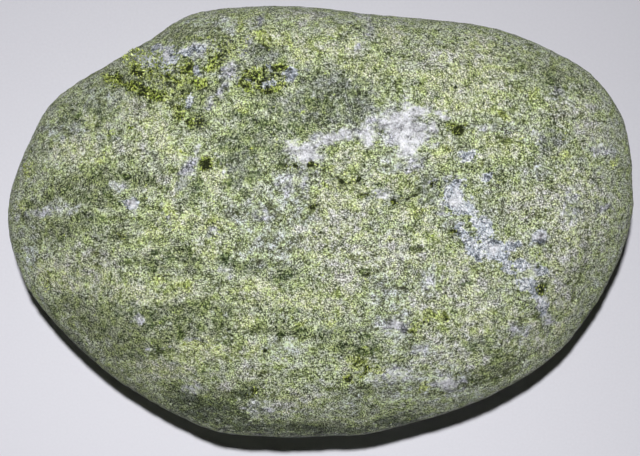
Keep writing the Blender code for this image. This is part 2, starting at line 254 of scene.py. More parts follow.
MIST = (
    # thin veils of quartz grains
    (-52.5, 2, 3.4, 0.8, 5), (-38.4, 7.1, 1.3, 0.6, -10), (-11.3, 1.2, 1.5, 1.1, 0),
    (-20.6, -1.9, 1.1, 1, 0), (-18.1, -10.1, 1.3, 1, 0), (-35.3, -18.7, 1, 0.8, 0),
    (31.5, 18.2, 2.3, 0.6, 0), (19.1, -24.4, 1.9, 0.8, 0), (13.9, -29.7, 4, 1.1, 8),
    (-11.8, -35.9, 2.3, 1.5, 0), (53.8, 13.8, 1.5, 1, 0), (8.6, 38.6, 1.1, 2.3, 10),
    (42.2, -2.8, 1.1, 0.8, 0), (41.1, 16.3, 1.1, 1, 0), (21.2, -11.6, 1, 2.1, 0),
    (-24.8, -32.4, 1.5, 1, 0), (42.2, -15.2, 1.1, 2.5, 15), (43.5, -18.5, 1, 1.9, 10),
    (-14.7, 27.3, 1.1, 0.8, 0), (-21, 22.6, 0.8, 0.8, 0), (-0.4, 15.7, 2.3, 1.1, 20),
    (22.9, 2.7, 1.1, 1.5, 0), (-11.8, 38.2, 2.1, 0.6, 62), (-14.1, 33.7, 2.5, 0.8, 62),
    (-17.4, 28.3, 2.9, 1.3, 62), (-18.7, 25.2, 1.3, 1, 62), (-25.2, 10.4, 2.5, 0.8, 62),
    (-27.1, 6.9, 1.9, 0.6, 62), (10.7, 18.8, 1.9, 1.5, 0), (16.8, 11.9, 2.3, 1.5, 0),
    (5.7, 16.8, 2.3, 1, 10), (13.4, 4.6, 1.7, 0.8, 10), (6.9, 33.7, 0.6, 0.8, -5),
    (40.1, -9.5, 1.7, 1.7, 0), (-22.9, 33.1, 2.7, 1.7, 10), (46, 24.9, 1.1, 1, 0),
    (54.2, 2.7, 1.7, 1.1, 0), (24.4, -31.1, 2.9, 1.5, 0), (13.9, -29.7, 3.1, 1.5, 6),
    (12.2, 4.6, 2.3, 1.3, 0), (14.5, -19.6, 2.7, 1.5, 0), (-5.5, 7.7, 3.1, 1.9, 20),
    (16.8, 11.9, 2.5, 1.3, 0), (-5.7, 28.3, 1.3, 1, 0), (48.1, 3.3, 1.7, 2.9, 0),
    (38.2, -21.3, 1.7, 0.6, -15), (15.7, 18, 4.8, 3.4, -8), (6.1, 16.8, 3.8, 1.1, 10),
    (-2.7, 13.4, 2.9, 1.5, -22),
)
print("pale spots:", len(PALE + CREAM + GREY + MIST))

# %% [markdown]
# ## Where the epidote is greenest
#
# Fresh epidote is yellow-green. Where the rock was open it also grew into the gaps, as a mossy
# crust of tiny crystals. Around the crust lies open rock, in which fresh grains and dark gaps
# take turns.

# %% Draw the green patches
YELLOW_GREEN = (
    # fresh yellow-green epidote
    (-11.1, 35.6, 2.3, 1.5, 0), (-6.5, 34.8, 1.9, 1.1, 0), (-15.1, 37.7, 1.1, 1.5, 0),
    (-22.1, 11.1, 1.7, 1.1, 0), (-29, 2, 1.5, 1.1, 0), (-30.6, -10.8, 1.9, 1.3, 0),
    (-26.2, -12.4, 1.7, 1.1, 0), (-23.9, -23.8, 2.9, 1.1, 10), (-20.2, -0.7, 1, 1.3, 0),
    (-56.9, 3.1, 1, 1, 0), (-55.8, 10, 1.1, 1.7, -10), (-42, 11.9, 1, 1.5, 0),
    (25.8, 17.8, 1.9, 1, -20), (27.3, 19.1, 1.1, 1, 0), (24.4, 14.2, 0.8, 1.5, -20),
    (35.1, 20.5, 1.1, 1.1, 0), (7.3, -27.1, 2.1, 1.5, 0), (5.2, -30.1, 1.3, 1.1, 0),
    (20, -32.2, 1.5, 1.1, 0), (10.7, -28.4, 1.9, 1.1, 0), (47.2, -3.2, 1.3, 0.6, 0),
    (13.2, -3, 1.3, 0.6, 0), (30.6, 10.9, 1, 1, 0), (30.2, 22.4, 1, 1, 0),
    (-15.3, 22, 1.7, 1.1, 0), (-20.4, 29.8, 1.1, 1.7, -25), (-25.6, 29.6, 1, 0.8, 0),
    (20.6, -17.5, 1.3, 1, 10), (23.5, -17.9, 1.5, 1.1, 0), (18.3, -20.4, 1.7, 1.1, 20),
    (-52.5, -12.2, 1, 1.3, -10), (56.1, 10.7, 0.8, 1.3, 15), (-3.8, -19.2, 1.1, 0.8, 0),
    (1.9, -18.9, 1.3, 1.1, 0), (41.1, 24.9, 1.5, 1.3, 0), (46.8, 12.8, 1.5, 1, 0),
    (3.1, 10.4, 1.1, 1, 0), (5, 9.6, 1.1, 0.8, 0), (-30, 23.5, 1.7, 1.1, -25),
    (-27.7, 21.8, 1.5, 1.1, -40), (-26, 20.5, 1.3, 1, -45), (-31.9, 24.7, 1.1, 0.8, 0),
    (2.5, 6.9, 1.5, 0.6, -40), (19.1, 2.5, 2.3, 1, -5), (0.4, 7.7, 0.8, 0.8, 0),
    (0.4, 32.5, 0.6, 0.6, 0), (-22, 11.3, 0.8, 0.6, 0), (17.2, 20.3, 0.8, 0.4, -40),
    (10.7, 15.3, 0.8, 0.4, 0),
)
MOSS = (
    # the mossy crust, at the upper left
    (-39.7, 27.5, 1.3, 0.8, -10), (-36.7, 26.2, 1.3, 0.8, -25), (-33.6, 25.1, 1.5, 1, -15),
    (-31.7, 24.1, 1.3, 1, -25), (-24.4, 19.1, 0.8, 0.8, -45), (-25.6, 29.6, 1.3, 1.1, 0),
    (-20.6, 30.6, 1.1, 1.5, -20), (-27.1, 27.2, 1.5, 0.8, -10), (-35.1, 29.4, 1, 1.1, 0),
    (-12.2, 28.7, 1.5, 1.3, 0), (-9.4, 25.8, 2.1, 0.8, 0), (-7.6, 29.8, 1.1, 0.8, 0),
    (-14.1, 26.2, 1.1, 0.8, 0), (-22.5, 26.6, 1.3, 1, 0), (-22.1, 11.3, 1, 0.8, 0),
    (-26.2, 20.9, 1, 0.6, -40),
)
OPEN_ROCK = (
    # open rock around the crust
    (-30.6, 29.3, 8.8, 2.7, -22), (-28.3, 25.2, 4.6, 1.9, -30), (-11.1, 27.9, 5, 2.7, 0),
    (-17.6, 33.3, 5, 2.3, 10),
)
print("green spots:", len(YELLOW_GREEN + MOSS + OPEN_ROCK))

# %% [markdown]
# ## Where the quartz lies
#
# The last minerals to fill the rock's openings were lavender quartz, in a chain of grains down the
# right side and between the crusts, milky quartz, in one large patch and small ones, and a little
# pinkish feldspar.

# %% Draw the quartz patches
LAVENDER = (
    # lavender quartz grains
    (-31.3, 33.5, 1, 0.8, 0), (-34.6, 31.7, 1.1, 0.8, 0), (-23.5, 29.1, 0.8, 0.8, 0),
    (-25.6, 32.5, 1, 0.8, 0), (-9.5, 26.6, 1, 0.6, 0), (-13, 27.2, 0.8, 0.6, 0),
    (-9.9, 29.6, 0.8, 0.6, 0), (-24.8, 23.1, 0.8, 1.1, 0), (25.8, 6.3, 1.7, 1.7, 0),
    (26, 3.7, 2.5, 1.7, 0), (28.1, 2.1, 1.7, 1.1, -30), (30.6, -0.1, 2.5, 1, -30),
    (27.1, -1.9, 1, 1.3, 0), (28.6, -3.8, 2.3, 1, -35), (31.3, -1.9, 1.7, 1.5, -30),
    (33, -5.1, 2.3, 1.7, -10), (34.6, -6.8, 1.5, 1, 0), (36.9, -4.5, 1.3, 1.1, 0),
    (29.8, -5.5, 1.7, 1.3, -40), (38.2, -8, 1.1, 1, 0), (35.7, -8.5, 1.3, 1.1, 0),
    (42.6, -9.3, 1.1, 1, 0), (41.2, -13.1, 1, 1.5, 0), (42.8, -16.4, 0.6, 1.7, 15),
    (28.1, 12.8, 1.5, 1.1, 0), (32.1, 8.6, 1.1, 0.8, 0), (-29, 31.7, 1.5, 1.7, 0),
    (-32.5, 30.6, 1.5, 1, 0), (-36.1, 3.9, 1.7, 1.1, 0), (36.7, -10.1, 1.3, 0.6, -30),
    (39.3, -11.6, 1.1, 1.1, 0), (-22.9, 33.3, 1.3, 0.8, 10), (42.2, -2.8, 1.1, 1, 0),
    (12.4, 4.6, 1, 0.6, 0), (-5.7, 28.1, 1, 0.8, 0), (-5.5, 28.3, 1.3, 1, 0),
    (-32.8, 31, 1.3, 1.1, 0), (-5.7, 28.3, 1.5, 1.1, 0),
)
MILKY = (
    # milky quartz
    (16.6, 18, 2.9, 3.2, -8), (14.1, 19.3, 2.3, 1.7, 0), (21.6, 18, 0.8, 1.3, -10),
    (18.7, 21.6, 2.5, 0.8, -12), (23.3, 20.7, 1.1, 0.4, -10), (8.8, 16.1, 1.3, 1.5, 0),
    (5, 17, 1.7, 0.8, 12), (1.9, 15.9, 1.9, 0.8, 10), (-5.3, 14.9, 1.7, 0.6, -20),
    (26.2, 3.7, 1.3, 1.3, 0), (-36.1, 3.9, 1.1, 0.8, 0), (-23.5, 14.4, 1, 0.4, 66),
    (33.2, -5.3, 1, 0.8, 0), (26.2, 6.2, 0.8, 1, 0), (16.6, 14.2, 1.5, 1.3, 0),
    (-2.7, 13.6, 2.9, 1.5, -22), (24.6, -31.1, 1.7, 0.8, 0), (42.2, -2.8, 1, 0.6, 0),
    (12, 4.4, 1.3, 0.6, 10), (14.5, -19.6, 1.5, 0.8, 0), (16.8, 17.6, 1.9, 1.9, 0),
    (-29.4, 31.9, 0.6, 0.8, 0),
)
PINK = (
    # pinkish feldspar
    (4.8, -10.5, 2.1, 1.3, 10), (-4, -1.1, 1.1, 0.8, 0),
)
print("quartz spots:", len(LAVENDER + MILKY + PINK))

# %% [markdown]
# ## Where the hollows and cracks lie
#
# Hollows are small pits, one to three millimetres long. Veins and grooves are lines, so they are
# drawn as lines: half the width, then the points that the line runs through, in millimetres. A
# groove is a crack or the foot of a little ledge, where the rock is sunk and its colour is darkened
# as painted shade.

# %% Draw the hollows, the veins and the grooves
HOLLOW = (
    # pits
    (26.2, 17.8, 1.1, 0.8, 0), (25.4, 18.6, 1, 0.4, -5), (-21.6, 11.1, 1, 0.8, 0),
    (0.2, -2.4, 0.6, 0.6, 0), (-1, -8, 0.6, 0.4, 0), (-3.6, -11.8, 0.6, 0.4, 0),
    (8.8, -10.3, 0.8, 0.8, 0), (26, -2.4, 1, 0.6, 0), (43.3, 2.3, 0.6, 0.6, 0),
    (42.4, -13.1, 1.1, 0.8, -20), (-35.5, 29.1, 1, 0.8, 0), (-25.2, 29.6, 0.8, 0.6, 0),
    (-3.8, 18.9, 0.6, 0.4, 0), (-1, 21.8, 0.6, 0.4, 0), (-38.8, -2.6, 0.8, 0.6, 0),
    (-30.6, 6.2, 0.6, 0.4, 0), (-27.9, 0.4, 0.6, 0.4, 0), (-10.9, -24.6, 0.6, 0.6, 0),
    (7.1, -27.1, 1, 0.6, 0), (9, -28.6, 0.8, 0.8, 0), (5.2, -30.3, 1, 0.8, 0),
    (25.8, 25.6, 0.6, 0.6, 0), (42, -6.3, 0.6, 0.6, 0), (21.4, 6.9, 0.6, 0.8, 0),
    (-12.8, -33, 1.1, 0.6, 25), (-17.6, -20.8, 0.8, 0.6, -30), (4, 8.3, 1.1, 0.6, -20),
    (5.7, 7.9, 1, 0.4, -20), (0.6, 10.2, 1, 0.6, -20), (2.1, 9.6, 0.6, 0.4, 0),
    (8.8, 5, 1.1, 0.4, 0), (13.6, 5.2, 0.4, 1, 10), (14.3, 4.1, 1, 0.4, 0),
    (16.6, 4.6, 0.6, 0.6, 0), (18.3, 4.4, 1, 0.4, 0), (-5.3, 10.9, 1.5, 0.6, -20),
    (-1.5, 11.5, 1, 0.6, 0), (-1.1, 2.9, 1, 0.8, 0), (-12.6, 27.7, 1.1, 0.8, 0),
    (-9.9, 25.4, 1.1, 0.6, 0), (-8.4, 29.8, 1, 0.6, 0), (-13.9, 29.1, 0.8, 0.6, 0),
    (-10.9, 27.2, 1.1, 0.8, 0), (-32.5, 29.1, 0.8, 0.6, 0), (-22.9, 19.1, 0.8, 0.8, 0),
    (-34.2, 25.2, 1.7, 0.8, -20), (-36.7, 26, 1.3, 0.6, -20), (-38.8, 27.2, 0.8, 0.6, -20),
    (20.6, -18.9, 0.8, 0.4, 0), (24.1, -18.1, 0.6, 0.6, 0), (18.3, -21, 0.6, 0.6, 0),
    (7.1, 8.4, 0.6, 1, 0),
)
VEINS = (
    (0.2, ((-20, 13.4), (-19.1, 11.1), (-17.8, 8.4))),
    (0.2, ((20.4, 7.1), (22.9, 8.3), (25.2, 9), (27.3, 9.2))),
    (0.2, ((-33.4, -25.2), (-29.8, -24), (-26, -23.1), (-22.3, -22.7), (-19.9, -23.8))),
    (0.2, ((14.3, 10), (17.6, 8.8), (21, 6.2))),
    (0.2, ((-30.6, 3.3), (-29, 0), (-27.5, -3.8))),
)
GROOVES = (
    (0.3, ((-20.2, -19.8), (-15.3, -21), (-10.5, -20.4), (-4.6, -21.9), (1, -23.6))),
    (0.4, ((-36.9, 12.1), (-34, 14.2), (-31.5, 12.6), (-30.4, 10.5), (-29.6, 8.4))),
    (0.4, ((0, 11.1), (1.1, 9.6), (3.8, 7.9), (6.9, 6.5), (9.5, 4.6), (13.4, 4.4), (17.8, 4.6),
           (21, 8.3))),
    (0.3, ((4.8, 7.9), (1.9, 5), (-1.5, 1.8), (-3.6, -0.9))),
    (0.3, ((50.6, 1.4), (51.7, -2.4), (51.2, -7.6), (49.8, -12.9), (48.1, -17.1))),
    (0.3, ((52.7, 10), (53.8, 5.2), (53.5, -0.5))),
    (0.4, ((29.6, -31.7), (34.4, -29.7), (38.6, -27.3), (42.6, -24.2))),
    (0.4, ((-22, -33.2), (-16.2, -33.6), (-11.1, -34.7))),
    (0.2, ((-40.5, 13.8), (-37.8, 15.1), (-34.8, 14.6), (-32.5, 12.3), (-30.6, 9.6), (-29, 7.7))),
)
print("hollows:", len(HOLLOW), "veins:", len(VEINS), "grooves:", len(GROOVES))

# %% [markdown]
# ## Lay the drawing on the stone
#
# Every point of the skin is projected along the line of sight onto the outline's level, where the
# patches were drawn. Below that level the drawing would smear down the sides, so there it slides
# sideways with depth instead, as beds of rock do that dip through a stone. A little noise
# makes the drawn ellipses as uneven as real patches. This kind of noise differs from one start of
# Blender to the next until its seed is set, so the seed comes first, and the stone stays the same.

# %% Find each point's place on the drawing
DIP = Vector((0.8, 1.4))
WOBBLES = ((5.0, 0.5), (2.0, 0.8), (0.9, 0.5))
WOBBLE_SEED = 1

points = np.empty(len(surface.data.vertices) * 3)
surface.data.vertices.foreach_get("co", points)
points = points.reshape(-1, 3)


def place_on_drawing(point):
    depth = OUTLINE_LEVEL + EYE_ABOVE - max(point.z, OUTLINE_LEVEL)
    x = point.x * EYE_ABOVE / depth / MM
    y = ((point.y - EYE_Y) * EYE_ABOVE / depth + EYE_Y) / MM
    sunk = max(0.0, OUTLINE_LEVEL - point.z) / MM
    x += DIP.x * sunk
    y += DIP.y * sunk
    for spacing, reach in WOBBLES:
        shift = noise.noise_vector(point / (spacing * MM))
        x += shift.x * reach
        y += shift.y * reach
    return x, y


noise.seed_set(WOBBLE_SEED)
drawing = np.array([place_on_drawing(Vector(point)) for point in points])
print("the drawing spans", drawing.min(axis=0).round(1), "to", drawing.max(axis=0).round(1), "mm")

# %% [markdown]
# ## Paint the patches into attributes
#
# A spot's value is 1 in its middle, one half on its outline and 0 at twice its size. Kept as one
# number per point, an attribute that the material can read, it leaves the material free to decide
# how ragged or how soft the edge of each mineral is.

# %% Paint spots and lines
def spot_values(spots):
    values = np.zeros(len(drawing))
    for x, y, half_length, half_width, turn in spots:
        cosine, sine = math.cos(math.radians(turn)), math.sin(math.radians(turn))
        dx, dy = drawing[:, 0] - x, drawing[:, 1] - y
        along = (dx * cosine + dy * sine) / half_length
        across = (dy * cosine - dx * sine) / half_width
        values = np.maximum(values, 1 - np.hypot(along, across) / 2)
    return values


def line_values(lines):
    values = np.zeros(len(drawing))
    for half_width, corners in lines:
        for start, end in zip(corners, corners[1:]):
            start, run = np.array(start), np.subtract(end, start)
            share = np.clip((drawing - start) @ run / (run @ run), 0, 1)
            gap = np.linalg.norm(drawing - start - share[:, None] * run, axis=1)
            values = np.maximum(values, 1 - gap / half_width / 2)
    return values


painted = {
    "dark_band": spot_values(DARK_BAND),
    "chlorite": spot_values(CHLORITE),
    "dark_green_and_rim_shade": spot_values(DARK_GREEN_AND_RIM_SHADE),
    "rim_shade_and_dark_spots": spot_values(RIM_SHADE_AND_DARK_SPOTS),
    "pale": spot_values(PALE),
    "cream": spot_values(CREAM),
    "grey": spot_values(GREY),
    "mist": np.maximum(spot_values(MIST), line_values(VEINS)),
    "yellow_green": spot_values(YELLOW_GREEN),
    "moss": spot_values(MOSS),
    "open_rock": spot_values(OPEN_ROCK),
    "lavender": spot_values(LAVENDER),
    "milky": spot_values(MILKY),
    "pink": spot_values(PINK),
    "hollow": spot_values(HOLLOW),
    "groove": line_values(GROOVES),
}
for name, values in painted.items():
    surface.data.attributes.new(name, "FLOAT", "POINT").data.foreach_set("value", values)
    print(name, "covers", round(100 * float((values > 0.5).mean()), 1), "% of the skin")

# %% [markdown]
# ## Relief
#
# Displace moves each point of the skin along its normal by a texture, and a vertex group says
# how much of that each place gets. The surf left broad dimples and a fine grit everywhere, the
# crusty zone is rough and full of holes, and the drawn hollows and grooves are sunk. All of it
# works inwards, so the stone keeps its size, and it fades out at the table.

# %% Prepare groups and textures for the relief
TABLE_FADE = (0.3 * MM, 3 * MM)
LEAST_WEIGHT = 0.01


def soft_step(values, low, high):
    share = np.clip((values - low) / (high - low), 0, 1)
    return share * share * (3 - 2 * share)


def weight_group(name, weights):
    group = surface.vertex_groups.new(name=name)
    weights = weights * soft_step(points[:, 2], *TABLE_FADE)
    for index in np.flatnonzero(weights > LEAST_WEIGHT):
        group.add([int(index)], float(weights[index]), "REPLACE")
    return name


def relief_texture(name, kind, size, **settings):
    texture = bpy.data.textures.new(name, kind)
    texture.noise_scale = size
    for setting, value in settings.items():
        setattr(texture, setting, value)
    return texture


everywhere = weight_group("everywhere", np.ones(len(points)))
crusty = weight_group("crusty", soft_step(painted["moss"], 0.3, 0.7))
hollows = weight_group("hollows", soft_step(painted["hollow"], 0.35, 0.85))
grooves = weight_group("grooves", soft_step(painted["groove"], 0.3, 0.9))
dimples = relief_texture("dimples", "CLOUDS", 5 * MM, noise_depth=2)
grit = relief_texture("grit", "CLOUDS", 1.4 * MM, noise_depth=1)
holes = relief_texture("holes", "VORONOI", 1.5 * MM)
print("relief groups:", [group.name for group in surface.vertex_groups])

# %% [markdown]
# ## Press the relief in
#
# The textured depths come first, then the drawn ones. A mid level of 1 means that the texture's
# brightest places stay where they are and all others sink. Without a texture, a mid level of 0
# and a negative strength sink the whole group.

# %% Push the relief into the skin
TEXTURED_DEPTHS = (
    (everywhere, dimples, 0.35 * MM),
    (everywhere, grit, 0.30 * MM),
    (crusty, holes, 0.8 * MM),
)
DRAWN_DEPTHS = ((hollows, 0.55 * MM), (grooves, 0.35 * MM))

for group, texture, depth in TEXTURED_DEPTHS:
    apply_modifier(surface, "DISPLACE", vertex_group=group, texture=texture,
                   texture_coords="LOCAL", mid_level=1.0, strength=depth)
for group, depth in DRAWN_DEPTHS:
    apply_modifier(surface, "DISPLACE", vertex_group=group, mid_level=0.0, strength=-depth)
surface.vertex_groups.clear()
print("lowest point", round(min(v.co.z for v in surface.data.vertices) / MM, 3), "mm")

# %% [markdown]
# ## The crystals of the crust
#
# Where the stone is crusty, epidote grew into open gaps as six-sided prisms with ends like a
# chisel. One prism is a cylinder of six sides whose top is squeezed to an edge. It stays this
# simple because it is repeated more than a thousand times.

# %% Model one crystal
CRYSTAL_RADIUS = 0.12 * MM
CRYSTAL_LENGTH = 0.8 * MM
EDGE_SQUEEZE = (0.15, 0.85, 1.0)

bpy.ops.object.select_all(action="DESELECT")
bpy.ops.mesh.primitive_cylinder_add(vertices=6, radius=CRYSTAL_RADIUS, depth=CRYSTAL_LENGTH)
crystal = bpy.context.object
for face in crystal.data.polygons:
    face.select = face.normal.z > 0.9
bpy.ops.object.mode_set(mode="EDIT")
bpy.ops.mesh.select_mode(type="FACE")
bpy.ops.transform.resize(value=EDGE_SQUEEZE)
bpy.ops.object.mode_set(mode="OBJECT")
print("one crystal has", len(crystal.data.polygons), "faces")

# %% [markdown]
# ## Choose where crystals grow
#
# Points of the skin are drawn by lot, the more often the crustier the place: most in the moss,
# many in the hollows, some in open rock and few in the yellow-green. Near the rim and below it
# the surf has worn them all away.

# %% Draw the points by lot
CRYSTALS = 1800
CRUST_PLACES = (
    # attribute, how densely crystals stand there, where they start, where they are densest
    ("moss", 1.0, 0.35, 0.65),
    ("yellow_green", 0.1, 0.50, 0.80),
    ("hollow", 0.8, 0.30, 0.65),
    ("open_rock", 0.2, 0.45, 0.70),
)
RIM_CLEARANCE = 4 * MM

chance = np.random.default_rng(7)
crust = np.zeros(len(points))
for name, density, start, full in CRUST_PLACES:
    crust += density * soft_step(painted[name], start, full)
crust[points[:, 2] < OUTLINE_LEVEL + RIM_CLEARANCE] = 0
chosen = chance.choice(len(points), size=CRYSTALS, replace=False, p=crust / crust.sum())
print("crystals can grow on", int((crust > 0).sum()), "points")

# %% [markdown]
# ## Set the crystals in the crust
#
# Each point gets a copy of the prism, sunk by half its length and leaning away from the skin's own
# direction by chance, because such crystals grow every way. One that would reach the height of
# the stone's top is left out. A tint is stored with every copy, so that neighbours differ in
# colour, and the copies are joined into one piece.

# %% Set and join the crystals
LEAN = 60
SIZES = (0.55, 1.25)
TALLEST = stone_high.z - 0.2 * MM

copies = []
for index in chosen:
    root = surface.data.vertices[index]
    lean, turn, spin = np.radians(chance.uniform((0, 0, 0), (LEAN, 360, 360)))
    size = chance.uniform(*SIZES)
    aim = root.normal.to_track_quat("Z", "Y").to_matrix().to_4x4()
    tilt = Matrix.Rotation(turn, 4, "Z") @ Matrix.Rotation(lean, 4, "X")
    pose = tilt @ Matrix.Rotation(spin, 4, "Z")
    mesh = crystal.data.copy()
    mesh.transform(Matrix.Translation(root.co) @ aim @ pose @ Matrix.Scale(size, 4))
    if max(vertex.co.z for vertex in mesh.vertices) > TALLEST:
        continue
    tint = mesh.attributes.new("tint", "FLOAT", "POINT")
    tint.data.foreach_set("value", [chance.random()] * len(mesh.vertices))
    copies.append(bpy.data.objects.new("crystal_copy", mesh))
    bpy.context.scene.collection.objects.link(copies[-1])
bpy.data.objects.remove(crystal)

crystals = copies[0]
only(crystals)
for copy in copies:
    copy.select_set(True)
bpy.ops.object.join()
crystals.name = "epidote_crystals"
print("the crust has", len(copies), "crystals")

# %% [markdown]
# ## Small tools for materials
#
# A material is a tree of nodes. `add_node` makes one node, links the inputs that are given as
# sockets and sets the ones that are given as values. The others make the nodes used most: a sum,
# two colours mixed or multiplied, a soft step, and a painted attribute. `add_up` takes values,
# each with the middle that it swings about and a weight, and adds up the swings.

# %% Helpers for shader nodes
def add_node(tree, kind, inputs=None, **settings):
    node = tree.nodes.new("ShaderNode" + kind)
    for name, value in settings.items():
        setattr(node, name, value)
    for name, value in (inputs or {}).items():
        socket = node.inputs[name]
        if isinstance(value, bpy.types.NodeSocket):
            tree.links.new(value, socket)
        else:
            socket.default_value = value
    return node


def maths(tree, operation, *values, clamp=False):
    inputs = dict(enumerate(values))
    return add_node(tree, "Math", inputs, operation=operation, use_clamp=clamp).outputs[0]


def add_up(tree, *parts):
    total = 0.0
    for value, middle, weight in parts:
        swing = maths(tree, "SUBTRACT", value, middle)
        total = maths(tree, "MULTIPLY_ADD", swing, weight, total)
    return total


def blend(tree, share, first, second, **settings):
    inputs = {0: share, 6: first, 7: second}
    return add_node(tree, "Mix", inputs, data_type="RGBA", **settings).outputs[2]


def step_between(tree, value, low, high):
    inputs = {"Value": value, "From Min": low, "From Max": high}
    return add_node(tree, "MapRange", inputs, interpolation_type="SMOOTHSTEP").outputs[0]


def painted_value(tree, name):
    return add_node(tree, "Attribute", attribute_name=name).outputs["Fac"]


# %% [markdown]
# ## Small tools for node groups
#
# An effect that several materials use is built once as a group. Its sockets are declared on the
# group's interface, and a group node places it in a material with that material's own values.

# %% Helpers for node groups
def new_group(name, inputs, outputs):
    tree = bpy.data.node_groups.new(name, "ShaderNodeTree")
    for socket, kind in inputs.items():
        tree.interface.new_socket(socket, in_out="INPUT", socket_type="NodeSocket" + kind)
    for socket, kind in outputs.items():
        tree.interface.new_socket(socket, in_out="OUTPUT", socket_type="NodeSocket" + kind)
    return tree, tree.nodes.new("NodeGroupInput").outputs, tree.nodes.new("NodeGroupOutput").inputs


def use_group(tree, group, **inputs):
    return add_node(tree, "Group", inputs, node_tree=group).outputs


# %% [markdown]
# ## The grain of the rock
#
# Rock is made of crystals grown into each other. A Voronoi texture cuts space into such cells,
# and gives each one a random colour, of which two channels are used: how dark or light the grain
# is, and a second number that decides what else is special about it. The third channel lifts some
# grains above others. The group gives that height too, domed and lower at the grain's edges, for
# the bump.

# %% Build the mineral grain group
MIDDLE_GREY = (0.5, 0.5, 0.5)
HEIGHT_SPREAD = 0.6

grain_group, given, gives = new_group(
    "mineral grain",
    {"Vector": "Vector", "Size": "Float", "Unevenness": "Float"},
    {"Tone": "Float", "Kind": "Float", "Height": "Float"},
)
frequency = maths(grain_group, "DIVIDE", 1.0, given["Size"])
stir = add_node(grain_group, "TexNoise",
                {"Vector": given["Vector"], "Scale": frequency, "Detail": 1.0})
centred = add_node(grain_group, "VectorMath", {0: stir.outputs["Color"], 1: MIDDLE_GREY},
                   operation="SUBTRACT").outputs[0]
reach = maths(grain_group, "MULTIPLY", given["Size"], given["Unevenness"])
shift = add_node(grain_group, "VectorMath", {0: centred, "Scale": reach},
                 operation="SCALE").outputs[0]
stirred = add_node(grain_group, "VectorMath", {0: given["Vector"], 1: shift},
                   operation="ADD").outputs[0]
cells = add_node(grain_group, "TexVoronoi", {"Vector": stirred, "Scale": frequency})
channels = add_node(grain_group, "SeparateColor", {"Color": cells.outputs["Color"]})
dome = maths(grain_group, "SUBTRACT", 1.0, cells.outputs["Distance"])
lift = maths(grain_group, "MULTIPLY_ADD", channels.outputs["Blue"], HEIGHT_SPREAD, dome)
grain_group.links.new(channels.outputs["Red"], gives["Tone"])
grain_group.links.new(channels.outputs["Green"], gives["Kind"])
grain_group.links.new(lift, gives["Height"])
print("the grain group has", len(grain_group.nodes), "nodes")

# %% [markdown]
# ## What each mineral looks like
#
# Each mineral is a palette: the colours of its dark, middling and light grains. A colour ramp
# turns the random tone of a grain into a colour of that palette, so one grain pattern serves for
# all the minerals, and a patch changes its colours without changing its texture. At the ends of
# the ramp, the rarest grains are nearly black, and whiter than the light ones.

# %% Mix the palettes
PALETTES = {
    "ground": ((0.102, 0.138, 0.027), (0.324, 0.394, 0.174), (0.668, 0.746, 0.483)),
    "granular": ((0.112, 0.132, 0.048), (0.359, 0.403, 0.231), (0.691, 0.772, 0.595)),
    "pale": ((0.231, 0.287, 0.070), (0.522, 0.610, 0.277), (0.817, 0.913, 0.597)),
    "cream": ((0.147, 0.163, 0.062), (0.463, 0.505, 0.294), (0.785, 0.876, 0.674)),
    "chlorite": ((0.045, 0.078, 0.014), (0.143, 0.214, 0.086), (0.439, 0.490, 0.291)),
    "grey": ((0.138, 0.156, 0.078), (0.398, 0.438, 0.305), (0.710, 0.793, 0.697)),
    "dark_band": ((0.054, 0.070, 0.026), (0.155, 0.187, 0.111), (0.406, 0.454, 0.334)),
    # dark green rock, also used as painted shade along the lower rim
    "dark_green_and_rim_shade": ((0.025, 0.048, 0.004), (0.114, 0.175, 0.054), (0.406, 0.454, 0.241)),
    # near black: painted shade along the lower rim, and dark spots beside the crust
    "rim_shade_and_dark_spots": ((0.010, 0.014, 0.004), (0.041, 0.058, 0.020), (0.185, 0.230, 0.112)),
    "mist": ((0.197, 0.214, 0.192), (0.492, 0.520, 0.480), (0.778, 0.810, 0.768)),
    "yellow_green": ((0.094, 0.124, 0.007), (0.390, 0.475, 0.112), (0.724, 0.800, 0.384)),
    "moss": ((0.012, 0.020, 0.001), (0.117, 0.168, 0.009), (0.526, 0.650, 0.121)),
    "lavender": ((0.190, 0.222, 0.255), (0.535, 0.585, 0.665), (0.900, 0.940, 1.000)),
    "milky": ((0.560, 0.564, 0.600), (0.810, 0.812, 0.860), (0.950, 0.955, 0.995)),
    "pink": ((0.292, 0.288, 0.216), (0.653, 0.650, 0.544), (0.877, 0.880, 0.772)),
    "crystal": ((0.050, 0.070, 0.004), (0.240, 0.300, 0.028), (0.600, 0.680, 0.200)),
}
DARK, MIDDLE, LIGHT = range(3)
SHADES = (
    # place on the ramp, colour, strength
    (0.22, DARK, 1.0),
    (0.39, MIDDLE, 0.82),
    (0.61, MIDDLE, 1.12),
    (0.79, LIGHT, 1.0),
)
DARKEST = 0.25
LIGHTEST = 1.2
WHITENING = (0.04, 0.035, 0.06)


def palette(tree, tone, name):
    colours = PALETTES[name]
    node = add_node(tree, "ValToRGB", {"Fac": tone})
    stops = node.color_ramp.elements
    whitened = [LIGHTEST * value + white for value, white in zip(colours[LIGHT], WHITENING)]
    stops[0].color = (*(DARKEST * value for value in colours[DARK]), 1)
    stops[1].color = (*(min(value, 1) for value in whitened), 1)
    for position, shade, strength in SHADES:
        stops.new(position).color = (*(strength * value for value in colours[shade]), 1)
    return node.outputs["Color"]


print("palettes:", ", ".join(PALETTES))

# %% [markdown]
# ## Start the rock material
#
# All its patterns are fixed in space, so the inside of a hollow shows the same rock. Two more
# sets of coordinates are stretched along the beds of the rock: a little for the mineral patches
# and much more for thin streaks.

# %% Start the rock material
BEDDING_TURN = math.radians(14)
BEDDING_STRETCH = (0.6, 1.0, 1.0)
STREAK_STRETCH = (0.15, 1.0, 1.0)

rock = bpy.data.materials.new("epidote_rock")
rock.use_nodes = True
tree = rock.node_tree
shader = tree.nodes["Principled BSDF"]
place = add_node(tree, "TexCoord").outputs["Object"]


